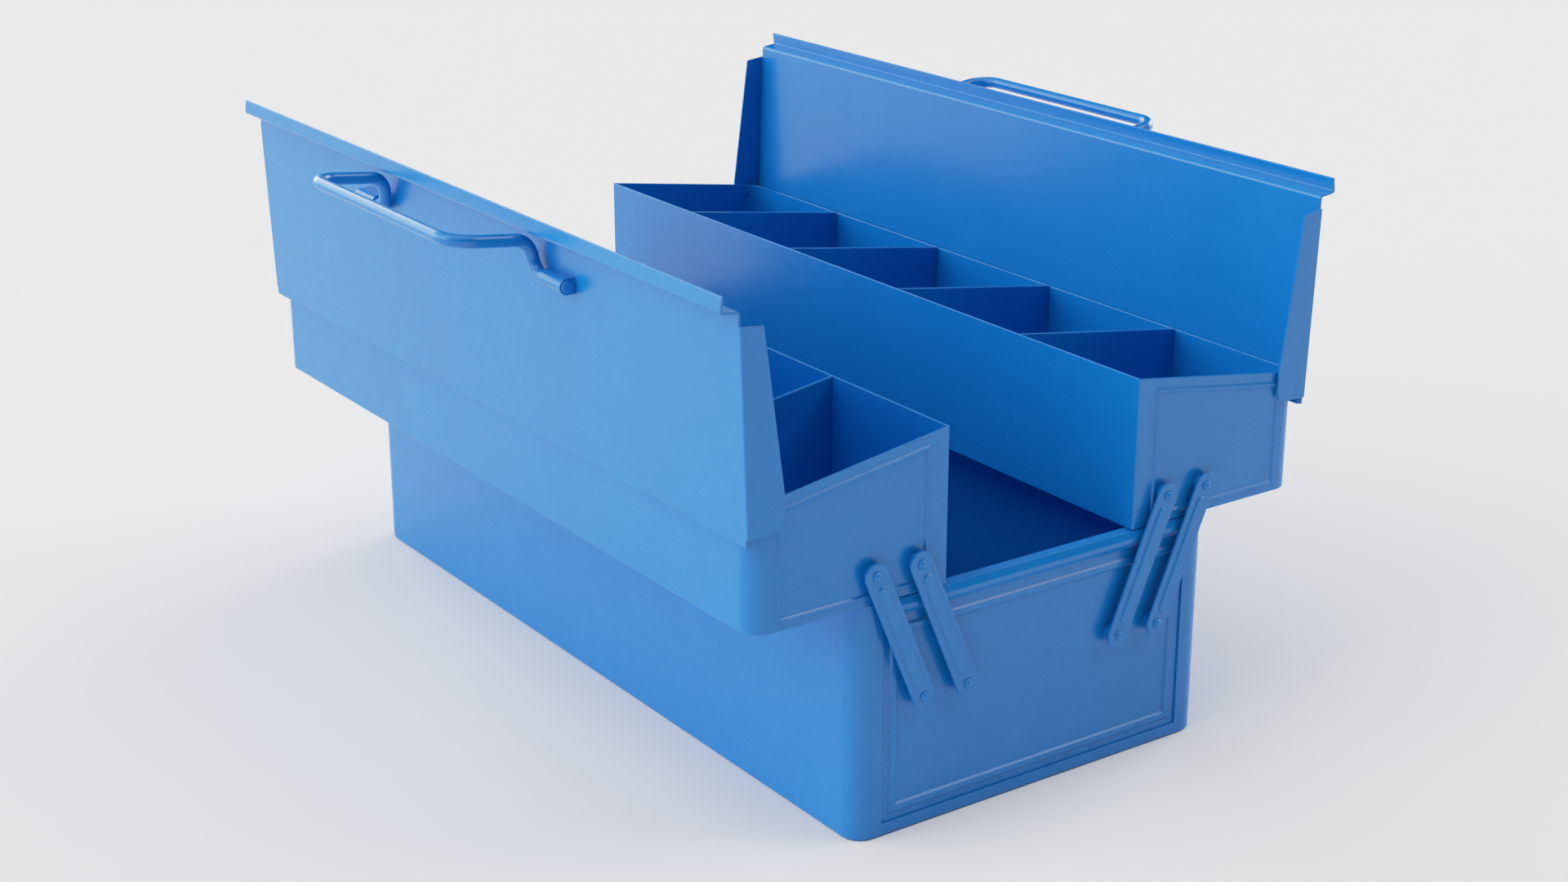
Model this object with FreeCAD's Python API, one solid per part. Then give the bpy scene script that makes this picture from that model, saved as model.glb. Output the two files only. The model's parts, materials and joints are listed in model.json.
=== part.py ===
import FreeCAD, Part
import math
import os

# Two-tray cantilever toolbox of pressed sheet steel, standing open. Millimetres, +Z up.
# X runs along the box, Y across it: the front half is on -Y and the rear half on +Y.
# The origin is on the ground under the middle of the base. The rear half is modelled
# once and mirrored to the front.

Vector = FreeCAD.Vector
X_AXIS = Vector(1, 0, 0)
Y_AXIS = Vector(0, 1, 0)
CENTRE = Vector(0, 0, 0)
same_place = 1e-6              # lengths that differ by less are equal
largest_round = 0.95           # share of a narrow face that the rounds beside it may take

# ---- Sheet ------------------------------------------------------------------------
sheet = 1.0                    # wall of every pressed part
fold_radius = 1.5              # outside radius of a tight fold
edge_radius = 0.4              # broken edges of the sheet, where they show

# ---- Base box ---------------------------------------------------------------------
box_length = 470.0             # outside, base and trays alike
box_width = 214.0              # outside of the base
base_height = 117.0            # ground to the top of the rim
base_corner_radius = 10.5      # upright corners, outside
base_border_side = 15.5        # width of the corner flange seen on the end
base_border_bottom = 6.4       # height of the bottom flange seen on the end
rim_ledge = 6.0                # flat ledge on top of the rim
rim_roll_height = 8.6          # rolled edge along the top of an end panel
rim_roll_bulge = 1.6           # how far the roll stands out of the end
rim_roll_edge = 1.0            # half the height of the crest of the roll
rim_roll_round = 0.95          # radius on the crest
rim_roll_end_gap = 0.3         # roll to the corner flange
base_bead_inset = 4.0          # frame bead to the edge of the recessed panel
base_bead_top_gap = 4.4        # frame bead to the rolled edge
base_bead_width = 4.6
base_bead_height = 1.0

# ---- Trays ------------------------------------------------------------------------
tray_middle_gap = 0.5          # tray to the middle plane, box closed
tray_seat_gap = 0.2            # tray floor above the rim
tray_lap = 50.5                # open tray still over the base
tray_inner_height = 76.0       # wall beside the middle
tray_outer_height = 60.0       # wall at the outside
tray_corner_radius = 10.0      # the two outer upright corners
tray_fold_radius = 0.75        # outside radius of the tray's tight folds
tray_bead_inner_inset = 11.0   # frame bead to the inner wall
tray_bead_outer_inset = 13.0   # frame bead to the outer wall
tray_bead_bottom_inset = 3.8
tray_bead_top_inset = 4.8
tray_bead_width = 2.6
tray_bead_height = 0.8
bead_corner_radius = 1.0
divider_count = 4              # dividers in each tray
divider_end_space = 87.25      # tray end to the middle of the nearest divider
divider_thickness = 1.5        # sheet and its turned edge
divider_corner = 1.2           # chamfer that clears the folds of the tray floor

# ---- Links, rivets and spacers ----------------------------------------------------
link_length = 71.0             # between pivots
link_width = 12.4
link_thickness = 1.2
link_rib_width = 5.6
link_rib_height = 0.8
link_rib_side = 0.1            # upright side of the rib under its chamfer
link_rib_end = 5.8             # pivot to the tip of the rib
tray_pivot_inset = 17.9        # inner wall of the tray to its nearer pivot
base_pivot_inset = 35.7        # side of the base to its nearer pivot
tray_pivot_height = 15.5       # tray floor to the pivots
spacer_diameter = 8.4
link_standoff = 3.5            # face of the tray end to the link
link_play = 0.1                # each side of a link
rivet_diameter = 3.0
rivet_head_diameter = 4.7
rivet_head_height = 1.8
rivet_tail_diameter = 4.6
rivet_tail_height = 0.9
pivot_clearance = 0.05         # radial, rivet or pin in its hole

# ---- Lids -------------------------------------------------------------------------
lid_lean = 1.9                 # degrees past upright, lid open
lid_pivot_inset = 8.0          # outer wall of the tray to the lid pivot
lid_stop_gap = 0.45            # hem to the tray wall, lid open
lid_sweep_gap = 0.2            # panel to the outer edge of the tray rim as it swings past
lid_lap = 10.6                 # panel below the pivot, lid open
lid_hem_width = 4.0            # folded edge along the bottom of the panel
lid_hem_height = 1.5           # how far it stands inside the panel
lid_end_margin = 0.7           # panel past the tray at each end
lip_middle_gap = 0.7           # lip to the middle plane, box closed
lip_step = 8.8                 # panel face to lip face, along the flange
lip_height = 7.7
lip_bend_radius = 0.6          # inside of the bends, flange to panel and to lip
cheek_gap = 1.2                # tray end to the inside of a cheek
cheek_drop = 6.8               # cheek below the pivot, lid open
cheek_relief = 5.5             # notch between cheek and lip
cheek_top_width = 11.7
cheek_bend_radius = 0.9        # outside of the bend, panel to cheek
cheek_bottom_width = 19.6
cheek_knee = 9.9               # pivot to the widest point of the cheek
cheek_corner_radius = 6.0
lid_pin_diameter = 4.0
lid_pin_shoulder = 7.0         # collar between cheek and tray end
lid_pin_play = 0.2             # collar to the tray end

# ---- Handles ----------------------------------------------------------------------
handle_rod = 6.2
handle_span = 147.0            # between the tops of the legs
handle_splay = 2.3             # foot of a leg beyond its top, each side
handle_leg_slope = 1.3         # top of a leg further out of the lid than its foot
handle_pivot_length = 31.5     # top of a leg to the end of the rod, lengthwise
handle_end_round = 0.8         # rounded end of the rod
handle_axis_drop = 18.8        # underside of the lip flange to the handle pivot
handle_lift = 1.2              # lid panel to the rod
handle_reach = 40.4            # pivot to grip, square to the panel
handle_stop_gap = 0.9          # arm to the lip flange
handle_elbow_radius = 9.2      # bends beside the panel
handle_elbow_straight = 0.5    # least straight rod between these bends
handle_grip_radius = 12.8      # bends at the grip
clip_wall = 0.7
clip_bend_gap = 0.5            # clip to the bend of the rod
clip_rod_end = 0.9             # rod standing out of the clip

# ---- Worked out from the above ----------------------------------------------------
end_x = box_length / 2
base_side_y = box_width / 2
panel_face_x = end_x - sheet
tray_width = base_side_y - tray_middle_gap
tray_inner_y = base_side_y - tray_lap
tray_outer_y = tray_inner_y + tray_width
tray_floor_z = base_height + tray_seat_gap
tray_slope = math.atan2(tray_inner_height - tray_outer_height, tray_width)
divider_pitch = (box_length - 2 * divider_end_space) / (divider_count - 1)

link_throw = (tray_inner_y - tray_middle_gap) / 2
link_lean = math.asin(link_throw / link_length)
tray_pivot_z = tray_floor_z + tray_pivot_height
base_pivot_z = tray_pivot_z - link_length * math.cos(link_lean)
inner_pivot_y = tray_inner_y + tray_pivot_inset
outer_pivot_y = base_side_y - base_pivot_inset + link_throw
link_inner_x = end_x + link_standoff
link_outer_x = link_inner_x + link_thickness

lean = math.radians(lid_lean)
hem_face = (lid_pivot_inset + lid_stop_gap + lid_lap * math.sin(lean)) / math.cos(lean)
lid_inner_face = hem_face + lid_hem_height
lid_outer_face = lid_inner_face + sheet
lid_pivot_y = tray_outer_y - lid_pivot_inset
lid_pivot_drop = math.sqrt((lid_inner_face - lid_sweep_gap) ** 2 - lid_pivot_inset ** 2)
lid_pivot_z = tray_floor_z + tray_outer_height - lid_pivot_drop
lip_reach = tray_width + tray_middle_gap - lip_middle_gap - lid_pivot_inset
flange_reach = lip_reach - lip_height
flange_bottom = (flange_reach + lid_outer_face * math.sin(tray_slope)) / math.cos(tray_slope)
cheek_top = flange_bottom - cheek_relief
lid_half_length = end_x + lid_end_margin
cheek_inner_x = end_x + cheek_gap
cheek_outer_x = cheek_inner_x + sheet

rod_radius = handle_rod / 2
handle_axis_n = lid_outer_face + handle_lift + rod_radius
handle_axis_w = flange_bottom - handle_axis_drop
handle_leg_x = handle_span / 2
handle_foot_x = handle_leg_x + handle_splay
handle_end_x = handle_leg_x + handle_pivot_length


# ---- Helpers ----------------------------------------------------------------------
def box(x0, x1, y0, y1, z0, z1):
    return Part.makeBox(x1 - x0, y1 - y0, z1 - z0, Vector(x0, y0, z0))


def cylinder_x(x0, x1, y, z, diameter):
    return Part.makeCylinder(diameter / 2, x1 - x0, Vector(x0, y, z), X_AXIS)


def prism_x(points, x0, x1):
    """Solid of the closed outline of (y, z) points, from x0 to x1."""
    corners = [Vector(x0, y, z) for y, z in points]
    outline = Part.makePolygon(corners + corners[:1])
    return Part.Face(outline).extrude(Vector(x1 - x0, 0, 0))


def prism_y(points, y0, y1):
    """Solid of the closed outline of (x, z) points, from y0 to y1."""
    corners = [Vector(x, y0, z) for x, z in points]
    outline = Part.makePolygon(corners + corners[:1])
    return Part.Face(outline).extrude(Vector(0, y1 - y0, 0))


def fuse(shapes):
    whole = shapes[0].multiFuse(shapes[1:]) if len(shapes) > 1 else shapes[0]
    return whole.removeSplitter()


def edges_where(shape, test):
    return [edge for edge in shape.Edges if test(edge)]


def upright(edge):
    along = edge.tangentAt(edge.FirstParameter)
    return edge.Length > fold_radius and abs(along.z) > 1 - same_place


def at_height(edge, z):
    return abs(edge.BoundBox.ZMin - z) < same_place and abs(edge.BoundBox.ZMax - z) < same_place


def lengthwise_at(edge, y, z):
    """True for an edge along X through (y, z)."""
    bounds = edge.BoundBox
    place = bounds.Center
    return (bounds.XLength > sheet and bounds.YLength < same_place
            and abs(place.y - y) < same_place and abs(place.z - z) < same_place)


def mirror_x(shape):
    return shape.mirror(CENTRE, X_AXIS)


def mirror_y(shape):
    return shape.mirror(CENTRE, Y_AXIS)


def frame_bead(points, width, height, x):
    """Raised bead that frames the closed outline of (y, z) points, standing on plane x."""
    corners = [Vector(x, y, z) for y, z in points]
    outline = Part.makePolygon(corners + corners[:1])

    def ring_wire(inset, rise):
        wire = outline.makeOffset2D(-inset) if inset else outline.copy()
        wire.translate(Vector(rise, 0, 0))
        return wire

    outer = Part.makeLoft([ring_wire(0, 0), ring_wire(height, height)], True, True)
    inner = Part.makeLoft([ring_wire(width, 0), ring_wire(width - height, height)], True, True)
    return outer.cut(inner)


def hollow_behind(bead, thickness):
    """Recess on the inside of a sheet, where a bead is pressed out of it."""
    hollow = bead.copy()
    hollow.translate(Vector(-thickness, 0, 0))
    return hollow


def stadium_x(y0, z0, y1, z1, width, x0, x1):
    """Flat bar with round ends, from one centre to the other."""
    along = Vector(0, y1 - y0, z1 - z0)
    side = X_AXIS.cross(along).normalize() * (width / 2)
    start = Vector(x0, y0, z0)
    finish = start + along
    tip = Vector(along).normalize() * (width / 2)
    edges = [Part.LineSegment(start + side, finish + side).toShape(),
             Part.Arc(finish + side, finish + tip, finish - side).toShape(),
             Part.LineSegment(finish - side, start - side).toShape(),
             Part.Arc(start - side, start - tip, start + side).toShape()]
    return Part.Face(Part.Wire(edges)).extrude(Vector(x1 - x0, 0, 0))


def bent_rod(points, radii, diameter):
    """Round rod through the points, with a tangent bend of each radius between them."""
    edges = []
    last = points[0]
    for before, corner, after, radius in zip(points, points[1:], points[2:], radii):
        arrive = (corner - before).normalize()
        leave = (after - corner).normalize()
        turn = arrive.getAngle(leave)
        cut_back = radius * math.tan(turn / 2)
        start = corner - arrive * cut_back
        finish = corner + leave * cut_back
        inward = (leave - arrive).normalize()
        middle = corner + inward * (radius / math.cos(turn / 2) - radius)
        edges.append(Part.LineSegment(last, start).toShape())
        edges.append(Part.Arc(start, middle, finish).toShape())
        last = finish
    edges.append(Part.LineSegment(last, points[-1]).toShape())
    section = Part.Wire(Part.makeCircle(diameter / 2, points[0], points[1] - points[0]))
    return Part.Wire(edges).makePipeShell([section], True, True)


def on_rear_lid(shape):
    """Place a part modelled about the lid pivot, Z up the panel and Y out of it."""
    placed = shape.copy()
    placed.rotate(CENTRE, X_AXIS, -lid_lean)
    placed.translate(Vector(0, lid_pivot_y, lid_pivot_z))
    return placed


# ---- Base -------------------------------------------------------------------------
def base_shell():
    """Floor and long sides in one sheet, wrapped round the corners onto the ends."""
    outside = box(-end_x, end_x, -base_side_y, base_side_y, 0, base_height)
    outside = outside.makeFillet(base_corner_radius, edges_where(outside, upright))
    outside = outside.makeFillet(fold_radius, edges_where(outside, lambda e: at_height(e, 0)))
    inner_y = base_side_y - sheet
    inside = box(-panel_face_x, panel_face_x, -inner_y, inner_y, sheet, base_height + sheet)
    inside = inside.makeFillet(base_corner_radius - sheet, edges_where(inside, upright))
    inside = inside.makeFillet(fold_radius - sheet,
                               edges_where(inside, lambda e: at_height(e, sheet)))
    window_y = base_side_y - base_border_side
    window = box(-end_x - sheet, end_x + sheet, -window_y, window_y,
                 base_border_bottom, base_height + sheet)
    walls = outside.cut(inside).cut(window)
    ledge_x = end_x - base_corner_radius
    ledges = [box(-ledge_x, ledge_x, base_side_y - rim_ledge, base_side_y - sheet,
                  base_height - sheet, base_height)]
    ledges.append(mirror_y(ledges[0]))
    return fuse([walls] + ledges)


def base_end_panel():
    """Right-hand end: a recessed panel with a framing bead and a rolled top edge."""
    half_width = base_side_y - base_corner_radius
    roll_bottom = base_height - rim_roll_height
    back_x = panel_face_x - sheet
    plate = box(back_x, panel_face_x, -half_width, half_width, fold_radius, base_height)
    ledge = box(end_x - rim_ledge, panel_face_x, -half_width, half_width,
                base_height - sheet, base_height)
    roll_half = base_side_y - base_border_side - rim_roll_end_gap
    crest_x = end_x + rim_roll_bulge
    crest_z = (roll_bottom + base_height) / 2
    roll = prism_y([(back_x, base_height), (end_x, base_height),
                    (crest_x, crest_z + rim_roll_edge), (crest_x, crest_z - rim_roll_edge),
                    (panel_face_x, roll_bottom), (back_x, roll_bottom)],
                   -roll_half, roll_half)
    crest_edges = edges_where(roll, lambda e: abs(e.BoundBox.XMin - crest_x) < same_place
                              and e.BoundBox.YLength > roll_half)
    roll = roll.makeFillet(min(rim_roll_round, rim_roll_edge * largest_round), crest_edges)
    bead_y = base_side_y - base_border_side - base_bead_inset
    bead_bottom = base_border_bottom + base_bead_inset
    bead_top = roll_bottom - base_bead_top_gap
    outline = [(-bead_y, bead_bottom), (bead_y, bead_bottom),
               (bead_y, bead_top), (-bead_y, bead_top)]
    bead = frame_bead(outline, base_bead_width, base_bead_height, panel_face_x)
    panel = fuse([plate, ledge, roll]).cut(hollow_behind(bead, sheet)).fuse(bead)
    for y in base_pivots():
        panel = panel.cut(cylinder_x(back_x, panel_face_x, y, base_pivot_z, rivet_diameter))
    return panel.removeSplitter()


def base_pivots():
    near = [inner_pivot_y - link_throw, outer_pivot_y - link_throw]
    return near + [-y for y in near]


# ---- Trays ------------------------------------------------------------------------
def tray_top(distance):
    """Height of the sloping tray rim at a distance from the inner wall."""
    return tray_inner_height - distance * math.tan(tray_slope)


def on_rim(edge):
    """True for an edge that lies in the sloping plane of the tray rim."""
    def lies(vertex):
        rim = tray_floor_z + tray_top(vertex.Point.y - tray_inner_y)
        return abs(vertex.Point.z - rim) < same_place

    return all(lies(vertex) for vertex in edge.Vertexes)


def tray_wedge(inset):
    """Block under the sloping rim, less an inset from the walls and the floor."""
    floor = tray_floor_z + inset
    y0 = tray_inner_y + inset
    y1 = tray_outer_y - inset
    points = [(y0, floor), (y1, floor), (y1, tray_floor_z + tray_top(y1 - tray_inner_y)),
              (y0, tray_floor_z + tray_top(y0 - tray_inner_y))]
    return prism_x(points, inset - end_x, end_x - inset)


def tray():
    """Pressed tray with its sloping ends, round outer corners and framing beads."""
    def outer_corner(edge):
        return upright(edge) and edge.BoundBox.YMin > tray_inner_y + tray_width / 2

    def inner_corner(edge):
        return upright(edge) and edge.BoundBox.YMax < tray_inner_y + tray_width / 2

    outside = tray_wedge(0)
    outside = outside.makeFillet(tray_corner_radius, edges_where(outside, outer_corner))
    outside = outside.makeFillet(tray_fold_radius, edges_where(outside, inner_corner))
    outside = outside.makeFillet(tray_fold_radius,
                                 edges_where(outside, lambda e: at_height(e, tray_floor_z)))
    inside = tray_wedge(sheet)
    inside = inside.makeFillet(tray_corner_radius - sheet, edges_where(inside, outer_corner))
    lift = inside.copy()
    lift.translate(Vector(0, 0, sheet))
    shell = outside.cut(inside.fuse(lift))

    y0 = tray_bead_inner_inset
    y1 = tray_width - tray_bead_outer_inset
    outline = [(y0, tray_bead_bottom_inset), (y1, tray_bead_bottom_inset),
               (y1, tray_top(y1) - tray_bead_top_inset),
               (y0, tray_top(y0) - tray_bead_top_inset)]
    outline = [(tray_inner_y + y, tray_floor_z + z) for y, z in outline]
    bead = frame_bead(outline, tray_bead_width, tray_bead_height, end_x)
    shell = shell.fuse(bead).fuse(mirror_x(bead))
    shell = shell.makeFillet(edge_radius, edges_where(shell, on_rim))
    for y in (inner_pivot_y, outer_pivot_y):
        shell = shell.cut(cylinder_x(-end_x, end_x, y, tray_pivot_z, rivet_diameter))
    hole = lid_pin_diameter + 2 * pivot_clearance
    shell = shell.cut(cylinder_x(-end_x, end_x, lid_pivot_y, lid_pivot_z, hole))
    return shell.removeSplitter()


def divider(x):
    """Plate across the tray, flush with its sloping rim."""
    floor = tray_floor_z + sheet
    y0 = tray_inner_y + sheet
    y1 = tray_outer_y - sheet
    points = [(y0 + divider_corner, floor), (y1 - divider_corner, floor),
              (y1, floor + divider_corner), (y1, tray_floor_z + tray_top(y1 - tray_inner_y)),
              (y0, tray_floor_z + tray_top(y0 - tray_inner_y)), (y0, floor + divider_corner)]
    plate = prism_x(points, x - divider_thickness / 2, x + divider_thickness / 2)
    return plate.makeFillet(edge_radius, edges_where(
        plate, lambda e: on_rim(e) and e.BoundBox.XLength < same_place))


# ---- Links ------------------------------------------------------------------------
def link(tray_y):
    """Right-hand link that carries the tray pivot at tray_y, with its pressed rib."""
    base_y = tray_y - link_throw
    bar = stadium_x(base_y, base_pivot_z, tray_y, tray_pivot_z, link_width,
                    link_inner_x, link_outer_x)
    bar = bar.makeFillet(edge_radius, edges_where(
        bar, lambda e: e.BoundBox.XMin > link_outer_x - same_place))
    share = (link_rib_end + link_rib_width / 2) / link_length
    run_y = (tray_y - base_y) * share
    run_z = (tray_pivot_z - base_pivot_z) * share
    rib = stadium_x(base_y + run_y, base_pivot_z + run_z, tray_y - run_y, tray_pivot_z - run_z,
                    link_rib_width, link_outer_x, link_outer_x + link_rib_height)
    crown = edges_where(rib, lambda e: e.BoundBox.XMin > link_outer_x + link_rib_height / 2)
    rib = rib.makeChamfer(link_rib_height - link_rib_side, crown)
    bar = bar.cut(hollow_behind(rib, link_thickness)).fuse(rib)
    hole = rivet_diameter + 2 * pivot_clearance
    for y, z in ((base_y, base_pivot_z), (tray_y, tray_pivot_z)):
        bar = bar.cut(cylinder_x(link_inner_x, link_outer_x, y, z, hole))
    return bar.removeSplitter()


def rivet(y, z, wall_x):
    """Dome-headed rivet through a wall whose outer face is at wall_x, and its link."""
    seat = link_outer_x + link_play
    shank = cylinder_x(wall_x - sheet, seat, y, z, rivet_diameter)
    tail = cylinder_x(wall_x - sheet - rivet_tail_height, wall_x - sheet, y, z,
                      rivet_tail_diameter)
    head_radius = rivet_head_diameter / 2
    ball = (head_radius ** 2 + rivet_head_height ** 2) / (2 * rivet_head_height)
    dome = Part.makeSphere(ball, Vector(seat + rivet_head_height - ball, y, z))
    dome = dome.common(cylinder_x(seat, seat + rivet_head_height, y, z, rivet_head_diameter))
    return fuse([tail, shank, dome])


def spacer(y, z, wall_x):
    """Bush on the rivet that holds the link clear of the rim."""
    outer = cylinder_x(wall_x, link_inner_x - link_play, y, z, spacer_diameter)
    return outer.cut(cylinder_x(wall_x, link_inner_x, y, z, rivet_diameter))


# ---- Lids, modelled about their pivot: Z up the panel, Y out of it ------------------
def lid():
    """Panel with a hemmed lower edge, stepped upper lip and a cheek at each end."""
    panel = box(-cheek_outer_x, cheek_outer_x, lid_inner_face, lid_outer_face,
                -cheek_drop, cheek_top)
    lower = box(-lid_half_length, lid_half_length, lid_inner_face, lid_outer_face,
                -lid_lap, -cheek_drop)
    hem = box(-end_x, end_x, hem_face, lid_inner_face, -lid_lap, lid_hem_width - lid_lap)
    body = fuse([panel, cheek(), mirror_x(cheek())])

    def cheek_bend(edge):
        middle = edge.BoundBox.Center
        along_w = edge.BoundBox.ZLength > (cheek_top + cheek_drop) / 2
        return (along_w and abs(abs(middle.x) - cheek_outer_x) < same_place
                and abs(middle.y - lid_outer_face) < same_place)

    body = body.makeFillet(cheek_bend_radius, edges_where(body, cheek_bend))
    return fuse([body, lower, hem, lid_lip()])


def along_flange(out, up):
    """Point at a distance out along the flange and up along the lip from their corner."""
    return (lid_outer_face + out * math.cos(tray_slope) - up * math.sin(tray_slope),
            flange_bottom + out * math.sin(tray_slope) + up * math.cos(tray_slope))


def lid_lip():
    """Top of the panel with its flange, upright on the closed lid, and the level lip."""
    back = (sheet * math.sin(tray_slope) - sheet) / math.cos(tray_slope)
    corners = {"toe": (lid_inner_face, cheek_top), "heel": (lid_outer_face, cheek_top),
               "bend": along_flange(0, 0), "step": along_flange(lip_step, 0),
               "edge": along_flange(lip_step, lip_height),
               "inner_edge": along_flange(lip_step - sheet, lip_height),
               "inner_step": along_flange(lip_step - sheet, sheet),
               "inner_bend": along_flange(back, sheet)}
    strip = prism_x(list(corners.values()), -lid_half_length, lid_half_length)
    radii = {"bend": lip_bend_radius, "inner_bend": lip_bend_radius + sheet,
             "step": lip_bend_radius + sheet, "inner_step": lip_bend_radius,
             "edge": edge_radius, "inner_edge": edge_radius}
    for name, radius in radii.items():
        y, z = corners[name]
        strip = strip.makeFillet(radius, edges_where(strip, lambda e: lengthwise_at(e, y, z)))
    return strip


def cheek():
    """Side flange that laps the tray end, rounded below the pivot."""
    knee = lid_outer_face - cheek_bottom_width
    points = [(lid_outer_face, -cheek_drop), (lid_outer_face, cheek_top),
              (lid_outer_face - cheek_top_width,
               cheek_top - cheek_top_width * math.tan(tray_slope)),
              (knee, cheek_knee), (knee, -cheek_drop)]
    plate = prism_x(points, cheek_inner_x, cheek_outer_x)

    def tray_side_corner(edge):
        centre = edge.BoundBox.Center
        along_x = edge.BoundBox.XLength > sheet / 2
        return (along_x and abs(centre.y - knee) < same_place
                and abs(centre.z + cheek_drop) < same_place)

    return plate.makeFillet(cheek_corner_radius, edges_where(plate, tray_side_corner))


def lid_pin():
    """Shouldered pivot pin on the inside of the right-hand cheek, flush in the tray."""
    shoulder = cylinder_x(end_x + lid_pin_play, cheek_inner_x, 0, 0, lid_pin_shoulder)
    pin = cylinder_x(end_x - sheet, end_x + lid_pin_play, 0, 0, lid_pin_diameter)
    return fuse([shoulder, pin])


# ---- Handles, modelled about the lid pivot like the lids ---------------------------
def arm_height(n):
    """Height up the panel of a handle arm at a distance n out of the lid."""
    clear = flange_bottom - handle_stop_gap - rod_radius / math.cos(tray_slope)
    return clear + (n - lid_outer_face) * math.tan(tray_slope)


def handle_corners():
    """Corners of the right-hand half of the rod: end, foot and top of the leg, grip."""
    top_n = handle_axis_n + handle_leg_slope
    grip_n = handle_axis_n + handle_reach
    return [Vector(handle_end_x, handle_axis_n, handle_axis_w),
            Vector(handle_foot_x, handle_axis_n, handle_axis_w),
            Vector(handle_leg_x, top_n, arm_height(top_n)),
            Vector(handle_leg_x, grip_n, arm_height(grip_n))]


def elbow_bend():
    """Radius of the bends at both ends of a leg, and what the lower one takes off the pivot."""
    end, foot, top, grip = handle_corners()
    leg = top - foot
    lower = math.tan((foot - end).getAngle(leg) / 2)
    upper = math.tan(leg.getAngle(grip - top) / 2)
    radius = min(handle_elbow_radius, (leg.Length - handle_elbow_straight) / (lower + upper))
    return radius, radius * lower


def handle():
    """Bail of round rod: pivots, legs beside the panel, arms under the lip, and grip."""
    half = handle_corners()
    other = [Vector(-p.x, p.y, p.z) for p in reversed(half)]
    elbow = elbow_bend()[0]
    bends = [elbow, elbow, handle_grip_radius]
    rod = bent_rod(half + other, bends + bends[::-1], handle_rod)

    def end_rim(edge):
        return abs(abs(edge.BoundBox.Center.x) - handle_end_x) < same_place

    return rod.makeFillet(handle_end_round, edges_where(rod, end_rim))


def handle_clip():
    """Sleeve over the right-hand end of the rod, with its flat back on the lid panel."""
    start_x = handle_foot_x + elbow_bend()[1] + clip_bend_gap
    clip_end_x = handle_end_x - clip_rod_end
    bore = handle_rod + 2 * pivot_clearance
    outer_d = bore + 2 * clip_wall
    outer = fuse([cylinder_x(start_x, clip_end_x, handle_axis_n, handle_axis_w, outer_d),
                  box(start_x, clip_end_x, lid_outer_face, handle_axis_n,
                      handle_axis_w - outer_d / 2, handle_axis_w + outer_d / 2)])
    return outer.cut(cylinder_x(start_x, clip_end_x, handle_axis_n, handle_axis_w, bore))


# ---- Assembly ---------------------------------------------------------------------
def both_ends(solids):
    return solids + [mirror_x(s) for s in solids]


def half_nodes():
    """Every node of the rear half, by its name without the word rear."""
    nodes = {"tray": tray()}
    for index in range(divider_count):
        place = (index - (divider_count - 1) / 2) * divider_pitch
        nodes["divider_%d" % (index + 1)] = divider(place)
    pivots = (inner_pivot_y, outer_pivot_y)
    bushes = [spacer(y, tray_pivot_z, end_x) for y in pivots]
    rivets = [rivet(y, tray_pivot_z, end_x) for y in pivots]
    nodes["tray_link_spacers"] = Part.makeCompound(both_ends(bushes))
    nodes["tray_link_rivets"] = Part.makeCompound(both_ends(rivets))
    for place, y in zip(("inner", "outer"), pivots):
        bar = link(y)
        nodes["right_%s_link" % place] = bar
        nodes["left_%s_link" % place] = mirror_x(bar)
    nodes["lid"] = on_rear_lid(lid())
    nodes["lid_pivot_pins"] = Part.makeCompound(both_ends([on_rear_lid(lid_pin())]))
    nodes["handle"] = on_rear_lid(handle())
    clip = on_rear_lid(handle_clip())
    nodes["right_handle_clip"] = clip
    nodes["left_handle_clip"] = mirror_x(clip)
    return nodes


def all_nodes():
    panel = base_end_panel()
    bushes = [spacer(y, base_pivot_z, panel_face_x) for y in base_pivots()]
    rivets = [rivet(y, base_pivot_z, panel_face_x) for y in base_pivots()]
    nodes = {"base_shell": base_shell(),
             "base_right_end_panel": panel,
             "base_left_end_panel": mirror_x(panel),
             "base_link_spacers": Part.makeCompound(both_ends(bushes)),
             "base_link_rivets": Part.makeCompound(both_ends(rivets))}
    for name, shape in half_nodes().items():
        nodes["rear_" + name] = shape
        nodes["front_" + name] = mirror_y(shape)
    return nodes


os.makedirs("parts", exist_ok=True)
for name, shape in all_nodes().items():
    shape.exportStep("parts/%s.step" % name)
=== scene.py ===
import json
import math

import bpy
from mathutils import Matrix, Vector


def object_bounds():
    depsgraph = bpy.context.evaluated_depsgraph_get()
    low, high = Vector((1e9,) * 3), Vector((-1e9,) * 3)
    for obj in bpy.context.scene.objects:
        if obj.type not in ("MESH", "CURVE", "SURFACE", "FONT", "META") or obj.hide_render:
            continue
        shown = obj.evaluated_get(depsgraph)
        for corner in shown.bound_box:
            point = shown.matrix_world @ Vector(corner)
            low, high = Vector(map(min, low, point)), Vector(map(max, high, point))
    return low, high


# A two-tray cantilever toolbox of pressed steel, all in one blue semi-gloss paint.
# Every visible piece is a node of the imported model, and no shape is added or changed. This
# script paints the pieces, with the edges of the sheet softened in the shading only, and
# adds the floor, the lights and the camera. Units are metres.

MM = 0.001

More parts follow.
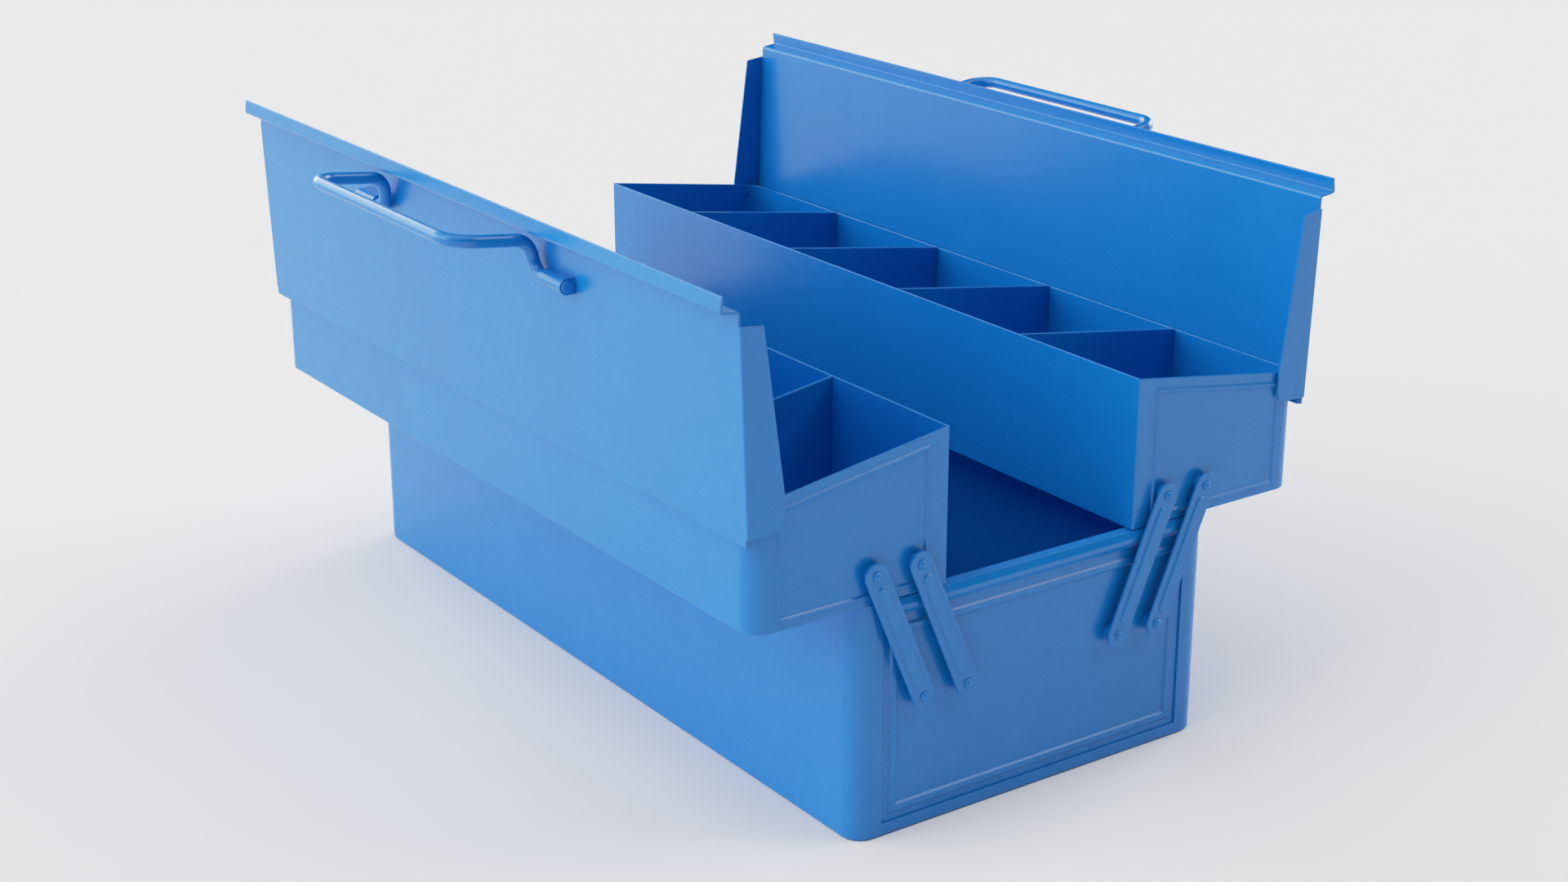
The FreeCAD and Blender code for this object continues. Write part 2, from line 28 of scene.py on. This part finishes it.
# ---- Paint ------------------------------------------------------------------------
BLUE = (0.004, 0.188, 0.575)       # the coat, linear colour
PAINT_ROUGHNESS = 0.26
EDGE_RADIUS = 0.60 * MM            # softened edges of the sheet, in the shading
EDGE_SAMPLES = 4
PEEL_SIZE = 1.3 * MM               # orange peel of the coat
PEEL_DEPTH = 0.06 * MM
PEEL_STRENGTH = 0.35
GRAIN_SIZE = 0.35 * MM             # powder grain on top of it
GRAIN_DEPTH = 0.02 * MM
GRAIN_STRENGTH = 0.25
GRAIN_GLOSS = 0.02                 # swing in roughness with the grain
CLOUD_SIZE = 60 * MM               # slow drift in colour and gloss
CLOUD_DETAIL = 3.0
CLOUD_TONE = 0.025                 # swing in brightness with the cloud
CLOUD_GLOSS = 0.01                 # swing in roughness with the cloud
NOISE_RANGE = (0.3, 0.7)           # where nearly all of a noise pattern's values lie

# ---- Camera -----------------------------------------------------------------------
CAMERA_AZIMUTH = 54.9              # degrees, 0 looks along +Y
CAMERA_ELEVATION = 19.64
CAMERA_DISTANCE = 1.336
CAMERA_LENS = 56.8                 # mm
CAMERA_SENSOR = 36                 # mm
CAMERA_CLIP = (0.05, 50)
AIM_OFFSET = Vector((0.0056, 0.0152, -0.0321))   # from the middle of the model's box

# ---- Light ------------------------------------------------------------------------
# Each softbox is far away: azimuth, elevation, angle it spans, strength.
SOFTBOXES = {
    "front_mid": (-10, 35, 50, 1.12),
    "front_low": (-10, 15, 35, 0.52),
    "left_low": (-50, 15, 35, 0.90),
    "left_mid": (-50, 35, 60, 0.72),
    "left_end": (-90, 15, 35, 1.65),
    "right_high": (30, 60, 35, 0.22),
    "right_end": (110, 70, 35, 0.05),
    "rear_high": (148, 50, 26, 0.75),
    "rear_low": (190, 15, 35, 2.10),
    "top": (0, 88, 60, 1.00),
}
WALL_STRENGTH = 1.22               # at the horizon, where it meets the floor's tone
WALL_TOP = 0.03                    # sine of the elevation where the wall starts to fade
CEILING = 0.18                     # and where it is dark
SHOULDER = 0.35                    # brightness where the film starts to roll off
SHOULDER_LEVELS = (0.45, 0.55, 0.65, 0.8, 1.0, 1.25, 1.6, 2.0, 2.6, 3.4, 5.0)
COMBINED_CURVE = 3                 # the curve that acts on all three colours

# ---- Floor ------------------------------------------------------------------------
FLOOR_HALF = 60.0                  # half its side
FLOOR_DROP = 0.05 * MM             # below the underside of the box
FLOOR_GREY = (0.87, 0.87, 0.87, 1)
FLOOR_ROUGHNESS = 0.9
FLOOR_SPECULAR = 0.1


def direction(azimuth, elevation):
    """Unit vector from the object towards a camera or a light."""
    a, e = math.radians(azimuth), math.radians(elevation)
    return Vector((math.sin(a) * math.cos(e), -math.cos(a) * math.cos(e), math.sin(e)))


def aim(obj, place, target):
    """Put a camera or a light at place, turned towards target, and add it to the scene."""
    obj.location = place
    obj.rotation_euler = (target - place).to_track_quat("-Z", "Y").to_euler()
    bpy.context.scene.collection.objects.link(obj)


def add_camera(centre):
    data = bpy.data.cameras.new("camera")
    data.lens = CAMERA_LENS
    data.sensor_width = CAMERA_SENSOR
    data.clip_start, data.clip_end = CAMERA_CLIP
    camera = bpy.data.objects.new("camera", data)
    target = centre + AIM_OFFSET
    back = direction(CAMERA_AZIMUTH, CAMERA_ELEVATION)
    aim(camera, target + back * CAMERA_DISTANCE, target)
    bpy.context.scene.camera = camera


def add_softbox(name, centre, azimuth, elevation, angle, strength):
    """A softbox at infinity, so that the floor is lit evenly however far it runs."""
    data = bpy.data.lights.new(name, "SUN")
    data.angle = math.radians(angle)
    data.energy = strength
    light = bpy.data.objects.new(name, data)
    aim(light, centre + direction(azimuth, elevation), centre)


def add_world():
    """White walls of the studio: full strength near the horizon, dark overhead."""
    world = bpy.data.worlds.new("studio")
    bpy.context.scene.world = world
    world.use_nodes = True
    nodes, links = world.node_tree.nodes, world.node_tree.links
    background = nodes["Background"]
    background.inputs["Color"].default_value = (1, 1, 1, 1)
    place = nodes.new("ShaderNodeTexCoord")
    height = nodes.new("ShaderNodeSeparateXYZ")
    fade = nodes.new("ShaderNodeMapRange")
    fade.inputs["From Min"].default_value = WALL_TOP
    fade.inputs["From Max"].default_value = CEILING
    fade.inputs["To Min"].default_value = WALL_STRENGTH
    fade.inputs["To Max"].default_value = 0.0
    links.new(place.outputs["Generated"], height.inputs["Vector"])
    links.new(height.outputs["Z"], fade.inputs["Value"])
    links.new(fade.outputs["Result"], background.inputs["Strength"])


def soften_highlights():
    """Film-like shoulder: straight up to SHOULDER, then rolling off towards white."""
    view = bpy.context.scene.view_settings
    view.view_transform = "Standard"
    view.use_curve_mapping = True
    mapping = view.curve_mapping
    mapping.clip_max_x = SHOULDER_LEVELS[-1]
    curve = mapping.curves[COMBINED_CURVE]
    curve.points[1].location = (SHOULDER, SHOULDER)
    room = 1 - SHOULDER
    for level in SHOULDER_LEVELS:
        curve.points.new(level, 1 - room * math.exp((SHOULDER - level) / room))
    for point in curve.points:
        point.handle_type = "VECTOR"
    mapping.update()


def add_floor():
    half = FLOOR_HALF
    corners = [(-half, -half, 0), (half, -half, 0), (half, half, 0), (-half, half, 0)]
    mesh = bpy.data.meshes.new("floor")
    mesh.from_pydata(corners, [], [(0, 1, 2, 3)])
    floor = bpy.data.objects.new("floor", mesh)
    floor.location.z = -FLOOR_DROP
    bpy.context.scene.collection.objects.link(floor)
    material = bpy.data.materials.new("floor")
    material.use_nodes = True
    shader = material.node_tree.nodes["Principled BSDF"]
    shader.inputs["Base Color"].default_value = FLOOR_GREY
    shader.inputs["Roughness"].default_value = FLOOR_ROUGHNESS
    shader.inputs["Specular IOR Level"].default_value = FLOOR_SPECULAR
    mesh.materials.append(material)


# ---- Materials --------------------------------------------------------------------
class Tree:
    """Short way to build a node tree: add a node, and set or link its sockets."""

    def __init__(self, material):
        material.use_nodes = True
        self.nodes = material.node_tree.nodes
        self.links = material.node_tree.links
        self.shader = self.nodes["Principled BSDF"]

    def add(self, kind, settings=None, **inputs):
        node = self.nodes.new("ShaderNode" + kind)
        for name, value in (settings or {}).items():
            setattr(node, name, value)
        for name, value in inputs.items():
            self.set(node, name.replace("_", " "), value)
        return node

    def set(self, node, socket, value):
        """Link value when it is another node's output, or else store it in the socket."""
        found = node.inputs[socket]
        if isinstance(value, bpy.types.NodeSocket):
            self.links.new(value, found)
        else:
            found.default_value = value


def noise(tree, where, size, detail=2.0):
    node = tree.add("TexNoise", Vector=where, Scale=1 / size, Detail=detail)
    return node.outputs["Fac"]


def spread(tree, value, low, high):
    """Stretch a noise pattern over the range from low to high."""
    node = tree.add("MapRange", Value=value, From_Min=NOISE_RANGE[0], From_Max=NOISE_RANGE[1],
                    To_Min=low, To_Max=high)
    return node.outputs["Result"]


def add_coat_colour(tree, cloud):
    """Blue, drifting slowly between a darker and a lighter tone."""
    darker = [c * (1 - CLOUD_TONE) for c in BLUE] + [1]
    lighter = [c * (1 + CLOUD_TONE) for c in BLUE] + [1]
    tone = tree.add("Mix", {"data_type": "RGBA"})
    factor_input, darker_input, lighter_input = 0, 6, 7
    colour_output = 2
    tree.set(tone, factor_input, spread(tree, cloud, 0.0, 1.0))
    tree.set(tone, darker_input, darker)
    tree.set(tone, lighter_input, lighter)
    tree.set(tree.shader, "Base Color", tone.outputs[colour_output])


def add_coat_gloss(tree, cloud, grain):
    """Semi-gloss, a little duller and shinier from place to place."""
    drift = spread(tree, cloud, PAINT_ROUGHNESS - CLOUD_GLOSS, PAINT_ROUGHNESS + CLOUD_GLOSS)
    speckle = spread(tree, grain, -GRAIN_GLOSS, GRAIN_GLOSS)
    gloss = tree.add("Math", {"operation": "ADD"})
    tree.set(gloss, 0, drift)
    tree.set(gloss, 1, speckle)
    tree.set(tree.shader, "Roughness", gloss.outputs[0])


def add_coat_relief(tree, where, grain):
    """Softened edges, then the powder grain, then the orange peel."""
    peel = noise(tree, where, PEEL_SIZE)
    edges = tree.add("Bevel", {"samples": EDGE_SAMPLES}, Radius=EDGE_RADIUS)
    fine = tree.add("Bump", Strength=GRAIN_STRENGTH, Distance=GRAIN_DEPTH, Height=grain,
                    Normal=edges.outputs["Normal"])
    coarse = tree.add("Bump", Strength=PEEL_STRENGTH, Distance=PEEL_DEPTH, Height=peel,
                      Normal=fine.outputs["Normal"])
    tree.set(tree.shader, "Normal", coarse.outputs["Normal"])


def paint(name):
    material = bpy.data.materials.new(name)
    tree = Tree(material)
    where = tree.add("TexCoord").outputs["Object"]
    cloud = noise(tree, where, CLOUD_SIZE, CLOUD_DETAIL)
    grain = noise(tree, where, GRAIN_SIZE)
    add_coat_colour(tree, cloud)
    add_coat_gloss(tree, cloud, grain)
    add_coat_relief(tree, where, grain)
    return material


def paint_everything():
    """One paint for each material slot of the record."""
    slots = {part["node"]: part["material_slot"] for part in frame["record"]["subparts"]}
    paints = {slot: paint(slot) for slot in sorted(set(slots.values()))}
    for node, obj in frame["nodes"].items():
        obj.data.materials.clear()
        obj.data.materials.append(paints[slots[node]])


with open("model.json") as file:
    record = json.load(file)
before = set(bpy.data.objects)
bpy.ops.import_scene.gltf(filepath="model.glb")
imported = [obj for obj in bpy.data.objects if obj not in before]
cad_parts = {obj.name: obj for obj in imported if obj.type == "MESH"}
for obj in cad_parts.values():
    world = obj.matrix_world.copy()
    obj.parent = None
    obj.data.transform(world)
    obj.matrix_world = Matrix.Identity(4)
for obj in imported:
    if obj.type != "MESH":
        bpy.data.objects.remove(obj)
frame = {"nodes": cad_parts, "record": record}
cad_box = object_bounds()
middle = (cad_box[0] + cad_box[1]) / 2

add_camera(middle)
add_world()
add_floor()
for light_name, settings in SOFTBOXES.items():
    add_softbox(light_name, middle, *settings)
soften_highlights()
paint_everything()
